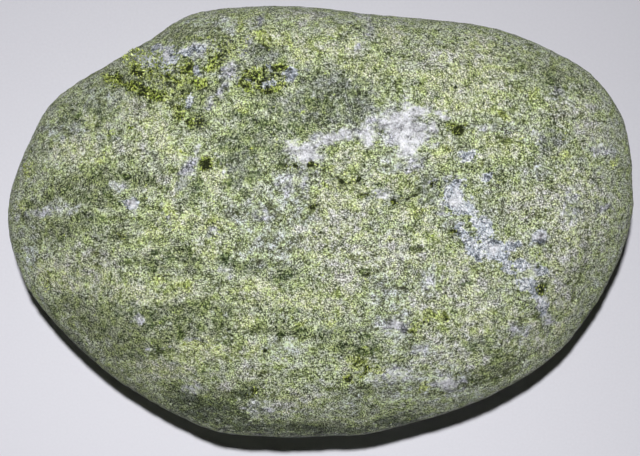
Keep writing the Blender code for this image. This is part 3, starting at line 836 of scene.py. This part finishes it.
def along_beds(stretch):
    inputs = {"Vector": place, "Rotation": (0, 0, BEDDING_TURN), "Scale": stretch}
    return add_node(tree, "Mapping", inputs).outputs[0]


def noise_value(vector, size, detail=4.0, roughness=0.6, shift=0.0):
    moved = add_node(tree, "VectorMath", {0: vector, 1: (shift, 0, shift)}).outputs[0]
    inputs = {"Vector": moved, "Scale": 1 / size, "Detail": detail, "Roughness": roughness}
    return add_node(tree, "TexNoise", inputs).outputs[0]


bedding = along_beds(BEDDING_STRETCH)
streaks = along_beds(STREAK_STRETCH)
print("the beds run", round(math.degrees(BEDDING_TURN)), "degrees off the stone's length")

# %% [markdown]
# ## Salt and pepper
#
# Seen close, this rock is salt and pepper, down to specks a tenth of a millimetre wide. Their
# tone swings with the grain group and with a noise of the same size, like crumbs between the
# specks. The swing is weaker on top, where the surf wore the stone smoothest, and in calm patches,
# where the specks are more alike.

# %% Let the tone swing from grain to grain
FINE_GRAIN = 0.12 * MM
FINE_SWING = 2.90
CRUMB_SWING = 3.4
WORN_LEVELS = (23 * MM, 37 * MM)
UNWORN, WORN_LOSS = 1.72, 0.85
CALM_PATCH = 2.6 * MM
CALM_EDGE = (0.48, 0.60)
LIVELY, CALM_LOSS = 1.25, 0.70

fine = use_group(tree, grain_group, Vector=place, Size=FINE_GRAIN, Unevenness=1.0)
crumbs = noise_value(place, FINE_GRAIN, detail=1.0, roughness=0.8)
swing = add_up(tree, (fine["Tone"], 0.5, FINE_SWING), (crumbs, 0.5, CRUMB_SWING))
level = add_node(tree, "SeparateXYZ", {"Vector": place}).outputs["Z"]
worn = step_between(tree, level, *WORN_LEVELS)
swing = maths(tree, "MULTIPLY", swing, maths(tree, "MULTIPLY_ADD", worn, -WORN_LOSS, UNWORN))
evenness = noise_value(place, CALM_PATCH, detail=3.0, shift=29 * MM)
calm = step_between(tree, evenness, *CALM_EDGE)
swing = maths(tree, "MULTIPLY", swing, maths(tree, "MULTIPLY_ADD", calm, -CALM_LOSS, LIVELY))
print("the finest specks are", round(FINE_GRAIN / MM, 2), "mm wide")

# %% [markdown]
# ## Lumps, clouds and streaks
#
# `sway` is the tone of the rock's grains, half a millimetre wide, and of the lumps that they
# gather in, and `drift` that of clouds a few millimetres wide and of streaks along the beds.
# `toned` adds all three to a middle tone, with as much contrast in the fine specks and in the
# coarse grains as a mineral has.

# %% Let the tone sway and drift
COARSE_GRAIN = 0.50 * MM
GRAIN_SWAY = 0.60
LUMP_SWAY = 1.8
HEIGHT_MIDDLE, HEIGHT_SWAY = 0.9, 0.35
CLOUD, CLOUD_DRIFT = 2.6 * MM, 1.70
STREAK, STREAK_DRIFT = 1.3 * MM, 0.9
MIDDLE_TONE = 0.46

coarse = use_group(tree, grain_group, Vector=place, Size=COARSE_GRAIN, Unevenness=1.6)
lumps = noise_value(place, COARSE_GRAIN, detail=2.0, roughness=0.7)
sway = add_up(tree, (coarse["Tone"], 0.5, GRAIN_SWAY), (lumps, 0.5, LUMP_SWAY),
              (coarse["Height"], HEIGHT_MIDDLE, HEIGHT_SWAY))
drift = add_up(tree, (noise_value(place, CLOUD), 0.5, CLOUD_DRIFT),
               (noise_value(streaks, STREAK), 0.5, STREAK_DRIFT))


def toned(fine_contrast, coarse_contrast):
    swung = maths(tree, "MULTIPLY_ADD", sway, coarse_contrast, drift)
    swung = maths(tree, "MULTIPLY_ADD", swing, fine_contrast, swung)
    return maths(tree, "ADD", swung, MIDDLE_TONE, clamp=True)


print("the rock's grains are", round(COARSE_GRAIN / MM, 2), "mm wide")

# %% [markdown]
# ## List the layers
#
# The minerals go on one after the other, from the green ground to the quartz, and each has a row
# of its own. Quartz grains differ less from each other than green ones, so their contrasts are
# low. Milky quartz is clear enough for its edge to be soft, so it starts early, is whole late and
# is the least ragged.

# %% List the layers
GROUND_CONTRASTS = (0.9, 1.0)
LAYERS = (
    # name, size of its natural patches in mm, how far these spread, where it starts, where it
    # is whole, raggedness, contrast of its fine and of its coarse grains
    ("granular", 3.0, 3.2, 0.10, 0.55, 0.3, 1.0, 1.1),
    ("pale", 1.6, 2.0, 0.20, 0.65, 0.25, 0.8, 0.8),
    ("cream", 1.8, 2.0, 0.20, 0.65, 0.3, 0.9, 1.0),
    ("chlorite", 2.2, 3.0, 0.28, 0.70, 0.3, 0.8, 1.0),
    ("grey", 1.4, 1.8, 0.20, 0.65, 0.3, 0.40, 0.8),
    ("dark_band", 1.4, 1.4, 0.14, 0.60, 0.25, 0.9, 0.9),
    # dark green rock, also used as painted shade along the lower rim
    ("dark_green_and_rim_shade", 1.4, 1.9, 0.18, 0.60, 0.3, 1.0, 1.2),
    ("mist", 1.0, 1.2, 0.28, 0.62, 0.2, 0.28, 0.7),
    # painted shade along the lower rim, and dark spots beside the crust
    ("rim_shade_and_dark_spots", 1.5, 1.2, 0.30, 0.70, 0.5, 1.0, 1.2),
    ("yellow_green", 1.0, 1.8, 0.44, 0.80, 0.2, 0.9, 1.3),
    ("moss", 1.2, 1.5, 0.33, 0.52, 0.5, 1.0, 3.2),
    ("lavender", 0.8, 1.1, 0.38, 0.50, 0.2, 0.42, 1.0),
    ("milky", 1.2, 1.4, 0.20, 0.84, 0.1, 0.14, 0.5),
    ("pink", 1.0, 0.8, 0.35, 0.75, 0.2, 0.8, 0.8),
)
print("the rock has", len(LAYERS), "layers on its ground")

# %% [markdown]
# ## Lay the minerals over each other
#
# For each layer the painted value, with a natural noise and the random number of the grain added,
# decides where it lies, so a patch ends grain by grain as it does in rock, and not along a drawn
# line. Before the quartz goes on, the green rock is stained warmer in one place and cooler in the
# next.

# %% Build the layers
FIRST_QUARTZ = "lavender"
LAYER_SHIFT = 37 * MM
PATCH_DETAIL, PATCH_ROUGHNESS = 3.0, 0.58
FINE_RAGGEDNESS = 0.2
STAIN_PATCH, STAIN_CONTRAST = 1.7 * MM, 3.6
WARM_STAIN = (0.95, 1.00, 0.72, 1)
COOL_STAIN = (1.03, 0.99, 1.22, 1)


def stained(colour):
    patches = noise_value(place, STAIN_PATCH, detail=2.0, shift=5 * MM)
    patches = maths(tree, "SUBTRACT", patches, 0.5)
    coolness = maths(tree, "MULTIPLY_ADD", patches, STAIN_CONTRAST, 0.5, clamp=True)
    stain = blend(tree, coolness, WARM_STAIN, COOL_STAIN)
    return blend(tree, 1.0, colour, stain, blend_type="MULTIPLY")


ragged = add_up(tree, (coarse["Kind"], 0.5, 1.0), (fine["Kind"], 0.5, FINE_RAGGEDNESS))
colour = palette(tree, toned(*GROUND_CONTRASTS), "ground")
shares = {}
for number, (name, size, spread, start, whole, raggedness, *contrasts) in enumerate(LAYERS, 1):
    if name == FIRST_QUARTZ:
        colour = stained(colour)
    shift = number * LAYER_SHIFT
    natural = noise_value(bedding, size * MM, PATCH_DETAIL, PATCH_ROUGHNESS, shift)
    value = add_up(tree, (natural, 0.5, spread), (ragged, 0.0, raggedness))
    if name in painted:
        value = maths(tree, "ADD", value, painted_value(tree, name))
    shares[name] = step_between(tree, value, start, whole)
    colour = blend(tree, shares[name], colour, palette(tree, toned(*contrasts), name))
print("minerals on the rock:", ", ".join(shares))

# %% [markdown]
# ## Dark flecks and painted glints
#
# One grain in ten is nearly black, a speck of iron ore or a gap, and one in ten gets a painted
# glint: its colour is raised towards white, as if its flat face mirrored the light. Both multiply
# the colour that is there, so dark rock gets no painted glints. Clear quartz shows them less.

# %% Scatter dark flecks and painted glints
SPECK = 0.16 * MM
DARK_FLECKS_AND_GLINTS = (
    # lowest and highest kind of a speck, colour
    (0.00, 0.09, (0.10, 0.12, 0.06, 1)),
    # painted glint: the colour raised almost twice, as a highlight
    (0.91, 1.00, (1.85, 1.85, 2.00, 1)),
)
FLECK_STRENGTH, CLEAR_LOSS = 0.90, 0.60

specks = use_group(tree, grain_group, Vector=place, Size=SPECK, Unevenness=1.6)
clear = maths(tree, "MAXIMUM", shares["milky"], shares["lavender"])
strength = maths(tree, "MULTIPLY_ADD", clear, -CLEAR_LOSS, FLECK_STRENGTH)
for low, high, fleck in DARK_FLECKS_AND_GLINTS:
    above = maths(tree, "GREATER_THAN", specks["Kind"], low)
    inside = maths(tree, "MULTIPLY", above, maths(tree, "LESS_THAN", specks["Kind"], high))
    inside = maths(tree, "MULTIPLY", inside, strength)
    colour = blend(tree, inside, colour, fleck, blend_type="MULTIPLY", clamp_result=True)
print("specks are", round(SPECK / MM, 2), "mm wide")

# %% [markdown]
# ## Fresh grains and painted shade in gaps
#
# In open rock and in the crust the grains stand apart. One noise makes both: where it is low the
# epidote is fresh, and where it is high the colour is painted near black, as painted shade in a gap
# that no light reaches. Where lavender quartz fills open rock, there is neither.

# %% Open the rock
CLUMP = 0.7 * MM
OPEN_EDGE = (0.40, 0.70)
FRESH_EDGE, FRESH_SHARE = (0.53, 0.58), 0.75
FRESH_CONTRASTS = (1.0, 1.2)
CRUST_EDGE, CRUST_GAP_EDGE = (0.25, 0.50), (0.53, 0.57)
OPEN_GAP_EDGE = (0.54, 0.59)
# painted shade: near-black colour for the inside of a gap
GAP_SHADE_COLOUR = (0.012, 0.017, 0.004, 1)

clumps = noise_value(place, CLUMP, detail=3.0, roughness=0.7, shift=23 * MM)
no_quartz = maths(tree, "SUBTRACT", 1.0, shares["lavender"])
openness = step_between(tree, painted_value(tree, "open_rock"), *OPEN_EDGE)
openness = maths(tree, "MULTIPLY", openness, no_quartz)
fresh = step_between(tree, maths(tree, "SUBTRACT", 1.0, clumps), *FRESH_EDGE)
fresh = maths(tree, "MULTIPLY", fresh, maths(tree, "MULTIPLY", openness, FRESH_SHARE))
colour = blend(tree, fresh, colour, palette(tree, toned(*FRESH_CONTRASTS), "yellow_green"))
crustiness = step_between(tree, painted_value(tree, "moss"), *CRUST_EDGE)
crust_gaps = maths(tree, "MULTIPLY", step_between(tree, clumps, *CRUST_GAP_EDGE), crustiness)
open_gaps = maths(tree, "MULTIPLY", step_between(tree, clumps, *OPEN_GAP_EDGE), openness)
gap_shade = maths(tree, "MAXIMUM", crust_gaps, open_gaps)
# paint the shade of the gaps
colour = blend(tree, gap_shade, colour, GAP_SHADE_COLOUR)
print("clumps are", round(CLUMP / MM, 2), "mm wide")

# %% [markdown]
# ## Darken the cracks and the hollows
#
# Their colour is darkened as painted shade, the shade that falls in a recess. A noise tears their
# edges, far more along a crack, which comes and goes, than around a hollow.

# %% Darken cracks and hollows
TEAR = 0.9 * MM
CRACK_TEARING, CRACK_EDGE, CRACK_SHARE = 2.4, (0.55, 0.80), 0.60
HOLLOW_TEARING, HOLLOW_EDGE = 1.1, (0.52, 0.66)
# painted shade in the cracks and in the hollows
CRACK_SHADE_COLOUR = (0.045, 0.060, 0.014, 1)
HOLLOW_SHADE_COLOUR = (0.016, 0.022, 0.004, 1)

torn = maths(tree, "SUBTRACT", noise_value(place, TEAR, shift=11 * MM), 0.5)
crack = maths(tree, "MULTIPLY_ADD", torn, CRACK_TEARING, painted_value(tree, "groove"))
crack = maths(tree, "MULTIPLY", step_between(tree, crack, *CRACK_EDGE), CRACK_SHARE)
colour = blend(tree, crack, colour, CRACK_SHADE_COLOUR)
pit = maths(tree, "MULTIPLY_ADD", torn, HOLLOW_TEARING, painted_value(tree, "hollow"))
colour = blend(tree, step_between(tree, pit, *HOLLOW_EDGE), colour, HOLLOW_SHADE_COLOUR)
tree.links.new(colour, shader.inputs["Base Color"])
print("the rock material has", len(tree.nodes), "nodes so far")

# %% [markdown]
# ## Gloss and bump
#
# Sea-worn rock is dull, but one fine grain in seven is smooth and glints. The heights of the
# coarse and the fine grains and a broader noise make the bump, a tenth of a millimetre deep.

# %% Finish the rock material
SMOOTH_KIND = 0.86
DULL, SMOOTH_GAIN = 0.80, 0.54
COARSE_BUMP = 1.6
BROAD_PATCH, BROAD_BUMP = 1.4 * MM, 3.0
BUMP_DEPTH = 0.10 * MM

smooth_grain = maths(tree, "GREATER_THAN", fine["Kind"], SMOOTH_KIND)
roughness = maths(tree, "MULTIPLY_ADD", smooth_grain, -SMOOTH_GAIN, DULL)
tree.links.new(roughness, shader.inputs["Roughness"])
height = maths(tree, "MULTIPLY_ADD", coarse["Height"], COARSE_BUMP, fine["Height"])
broad = noise_value(place, BROAD_PATCH, detail=3.0)
height = maths(tree, "MULTIPLY_ADD", broad, BROAD_BUMP, height)
bump = add_node(tree, "Bump", {"Height": height, "Distance": BUMP_DEPTH, "Strength": 1.0})
tree.links.new(bump.outputs[0], shader.inputs["Normal"])
shader.inputs["IOR"].default_value = 1.6
shader.inputs["Specular IOR Level"].default_value = 0.25
surface.data.materials.append(rock)
print("the rock material has", len(tree.nodes), "nodes")

# %% [markdown]
# ## The crystals' material
#
# Fresh epidote is pistachio green to olive and glossy as glass. Each crystal's tint picks its
# colour, and the grain group adds the specks and the small uneven faces of real crystals.

# %% Build the crystal material
FACET = 0.15 * MM
FACET_SHARE, TINT_SHARE = 0.3, 0.8
GLOSSIEST, GLOSS_SPREAD = 0.15, 0.35
FACET_DEPTH = 0.04 * MM

gloss = bpy.data.materials.new("epidote_crystal")
gloss.use_nodes = True
tree = gloss.node_tree
shader = tree.nodes["Principled BSDF"]
place = add_node(tree, "TexCoord").outputs["Object"]
facets = use_group(tree, grain_group, Vector=place, Size=FACET, Unevenness=0.6)
tinted = maths(tree, "MULTIPLY", painted_value(tree, "tint"), TINT_SHARE)
tone = maths(tree, "MULTIPLY_ADD", facets["Tone"], FACET_SHARE, tinted, clamp=True)
tree.links.new(palette(tree, tone, "crystal"), shader.inputs["Base Color"])
roughness = maths(tree, "MULTIPLY_ADD", facets["Kind"], GLOSS_SPREAD, GLOSSIEST)
tree.links.new(roughness, shader.inputs["Roughness"])
bump = add_node(tree, "Bump",
                {"Height": facets["Height"], "Distance": FACET_DEPTH, "Strength": 0.5})
tree.links.new(bump.outputs[0], shader.inputs["Normal"])
shader.inputs["IOR"].default_value = 1.7
crystals.data.materials.clear()
crystals.data.materials.append(gloss)
print("the crystal material has", len(tree.nodes), "nodes")

# %% [markdown]
# ## The table
#
# A sheet of pale paper lies under the stone. Its colour carries painted light: it goes from lit at
# the lower left to shaded at the upper right, as under a lamp that isn't quite central, and its
# fibres make the fade uneven.

# %% Lay the paper
PAPER_WIDTH = 3.0
FIBRE = 0.5 * MM
LEFT_FADE, LOWER_FADE, MIDDLE_FADE, FIBRE_FADE = 1.4, 5.0, 0.43, 0.14
# painted light: a shaded and a lit tone of the same paper
SHADED_PAPER = (0.490, 0.486, 0.528, 1)
LIT_PAPER = (0.800, 0.795, 0.860, 1)

bpy.ops.mesh.primitive_plane_add(size=PAPER_WIDTH, location=(0, 0, 0))
floor = bpy.context.object
floor.name = "paper"
paper = bpy.data.materials.new("pale_paper")
paper.use_nodes = True
tree = paper.node_tree
shader = tree.nodes["Principled BSDF"]
place = add_node(tree, "TexCoord").outputs["Object"]
fibres = add_node(tree, "TexNoise", {"Vector": place, "Scale": 1 / FIBRE, "Detail": 4.0})
across = add_node(tree, "SeparateXYZ", {"Vector": place})
painted_light = maths(tree, "MULTIPLY_ADD", across.outputs["X"], -LEFT_FADE, MIDDLE_FADE)
painted_light = maths(tree, "MULTIPLY_ADD", across.outputs["Y"], -LOWER_FADE, painted_light)
painted_light = maths(tree, "MULTIPLY_ADD", fibres.outputs[0], FIBRE_FADE, painted_light)
shade = blend(tree, step_between(tree, painted_light, 0.0, 1.0), SHADED_PAPER, LIT_PAPER)
tree.links.new(shade, shader.inputs["Base Color"])
shader.inputs["Roughness"].default_value = 0.9
floor.data.materials.append(paper)
print("the paper is", PAPER_WIDTH, "m wide")

# %% [markdown]
# ## The light
#
# One small round lamp stands close to the lens, a little above it in the picture, so the stone's
# own edge throws a narrow dark shadow below. It turns to face the middle of the table. A very
# weak pale sky fills what the lamp doesn't reach.

# %% Light it
LAMP_PLACE = Vector((-4 * MM, 43 * MM, OUTLINE_LEVEL + 300 * MM))
LAMP_WIDTH = 11 * MM
LAMP_POWER = 1.12
SKY_COLOUR = (0.95, 0.97, 1.0, 1)
SKY_STRENGTH = 0.004

bpy.ops.object.light_add(type="AREA", location=LAMP_PLACE)
lamp = bpy.context.object
lamp.rotation_euler = LAMP_PLACE.to_track_quat("Z", "Y").to_euler()
lamp.data.shape = "DISK"
lamp.data.size = LAMP_WIDTH
lamp.data.energy = LAMP_POWER

sky = bpy.data.worlds.new("pale_sky")
bpy.context.scene.world = sky
sky.use_nodes = True
background = sky.node_tree.nodes["Background"]
background.inputs["Color"].default_value = SKY_COLOUR
background.inputs["Strength"].default_value = SKY_STRENGTH
print("the lamp stands", round(LAMP_PLACE.length / MM), "mm from the middle of the table")

# %% [markdown]
# ## Hand over
#
# The new skin stands for the measured solid and moves with it. A dressed stone has to be as
# large as the solid, and no larger.

# %% Ride, replace and finish
for piece in (surface, crystals):
    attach(piece, "root")
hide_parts("cobble")

only(surface)
